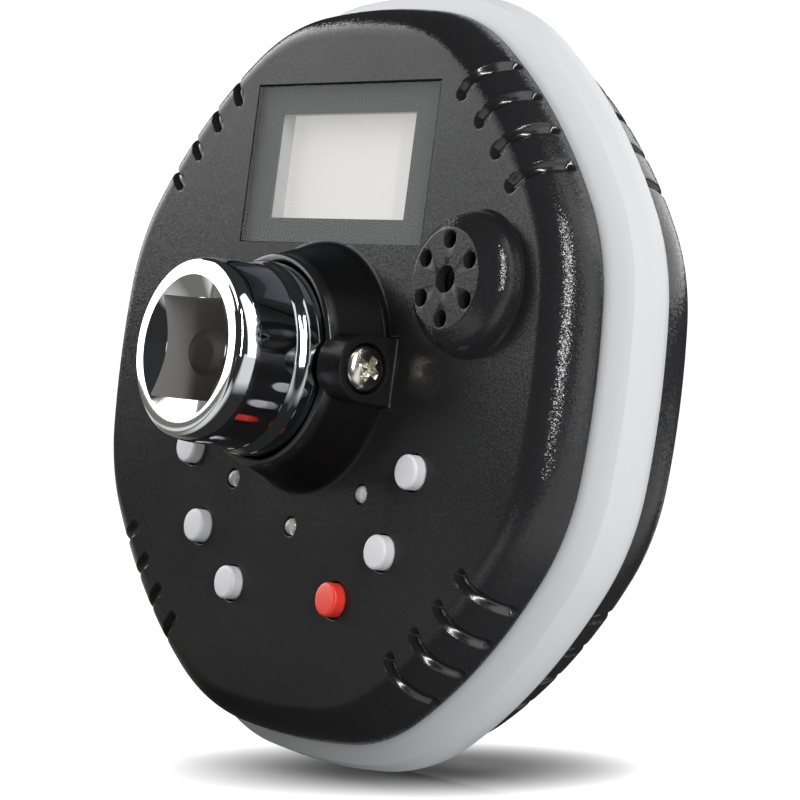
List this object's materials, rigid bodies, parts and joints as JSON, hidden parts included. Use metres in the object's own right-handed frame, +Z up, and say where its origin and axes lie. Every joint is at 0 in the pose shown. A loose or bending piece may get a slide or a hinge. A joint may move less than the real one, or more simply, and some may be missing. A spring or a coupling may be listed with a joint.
{
  "type": "digital torque adapter",
  "caption": "Round-cornered torque gauge with a square socket in front, a male square behind, a display above the drive, and buttons and lights below it.",
  "frame": {"origin": "middle of the flat mouth ring of the square socket, on the drive axis", "axes": "+Y along the drive axis from the socket to the male square, +Z up across the display, +X to the right as the display is read"},
  "size_m": [0.1016, 0.0602, 0.1016],
  "materials": {
    "shell_black": "fine grain, satin",
    "band_grey": "soft, matt",
    "drive_chrome": "polished",
    "ball_steel": "polished",
    "spring_steel": "drawn wire",
    "gauge_foil": "foil on a film",
    "ring_steel": "blackened",
    "seal_rubber": "matt",
    "screw_steel": "plated",
    "lens_clear": "clear, glossy",
    "lens_border": "printed, even",
    "holder_grey": "matt",
    "panel_cream": "satin",
    "backlight_white": "milky",
    "strip_rubber": "matt",
    "board_green": "solder mask",
    "chip_black": "moulded",
    "ribbon_amber": "film",
    "buzzer_black": "moulded",
    "cell_sleeve": "shrink sleeve",
    "contact_steel": "plated spring plate",
    "light_clear": "clear",
    "button_white": "satin",
    "button_red": "satin",
    "plunger_black": "moulded",
    "switch_black": "moulded"
  },
  "bodies": {
    "housing": {"front_shell": "shell_black", "rear_shell": "shell_black", "bumper_band": "band_grey", "drive_shaft": "drive_chrome", "detent_spring": "spring_steel", "strain_gauges": "gauge_foil", "retaining_ring": "ring_steel", "hub_seal": "seal_rubber", "lug_screw": "screw_steel", "display_lens": "lens_clear", "display_mask": "lens_border", "display_holder": "holder_grey", "display_panel": "panel_cream", "backlight": "backlight_white", "contact_strips": "strip_rubber", "main_board": "board_green", "controller_chip": "chip_black", "sensor_ribbon": "ribbon_amber", "switch_upper_right": "switch_black", "switch_middle_right": "switch_black", "switch_power": "switch_black", "switch_lower_left": "switch_black", "switch_middle_left": "switch_black", "switch_upper_left": "switch_black", "light_right": "light_clear", "light_middle": "light_clear", "light_left": "light_clear", "buzzer": "buzzer_black", "battery_upper": "cell_sleeve", "battery_lower": "cell_sleeve", "battery_contact_right": "contact_steel", "battery_contact_left": "contact_steel", "case_screws": "screw_steel", "board_screws": "screw_steel"},
    "button_upper_right": {"button_upper_right": "button_white", "plunger_upper_right": "plunger_black"},
    "button_middle_right": {"button_middle_right": "button_white", "plunger_middle_right": "plunger_black"},
    "button_power": {"button_power": "button_red", "plunger_power": "plunger_black"},
    "button_lower_left": {"button_lower_left": "button_white", "plunger_lower_left": "plunger_black"},
    "button_middle_left": {"button_middle_left": "button_white", "plunger_middle_left": "plunger_black"},
    "button_upper_left": {"button_upper_left": "button_white", "plunger_upper_left": "plunger_black"},
    "ball": {"detent_ball": "ball_steel"},
    "cover": {"battery_cover": "shell_black"}
  },
  "joints": [
    {"name": "press_upper_right", "type": "slide", "parent": "housing", "child": "button_upper_right", "axis": [0, 1, 0], "range_m": [0, 0.0005], "stiffness_N_per_m": 1500, "springref_m": -0.0003},
    {"name": "press_middle_right", "type": "slide", "parent": "housing", "child": "button_middle_right", "axis": [0, 1, 0], "range_m": [0, 0.0005], "stiffness_N_per_m": 1500, "springref_m": -0.0003},
    {"name": "press_power", "type": "slide", "parent": "housing", "child": "button_power", "axis": [0, 1, 0], "range_m": [0, 0.0005], "stiffness_N_per_m": 1500, "springref_m": -0.0003},
    {"name": "press_lower_left", "type": "slide", "parent": "housing", "child": "button_lower_left", "axis": [0, 1, 0], "range_m": [0, 0.0005], "stiffness_N_per_m": 1500, "springref_m": -0.0003},
    {"name": "press_middle_left", "type": "slide", "parent": "housing", "child": "button_middle_left", "axis": [0, 1, 0], "range_m": [0, 0.0005], "stiffness_N_per_m": 1500, "springref_m": -0.0003},
    {"name": "press_upper_left", "type": "slide", "parent": "housing", "child": "button_upper_left", "axis": [0, 1, 0], "range_m": [0, 0.0005], "stiffness_N_per_m": 1500, "springref_m": -0.0003},
    {"name": "ball_push", "type": "slide", "parent": "housing", "child": "ball", "axis": [0, 0, -1], "range_m": [0, 0.001], "stiffness_N_per_m": 4000, "springref_m": -0.0004, "deforming": ["detent_spring"]},
    {"name": "cover_off", "type": "slide", "parent": "housing", "child": "cover", "axis": [0, 1, 0], "range_m": [0, 0.012]}
  ]
}
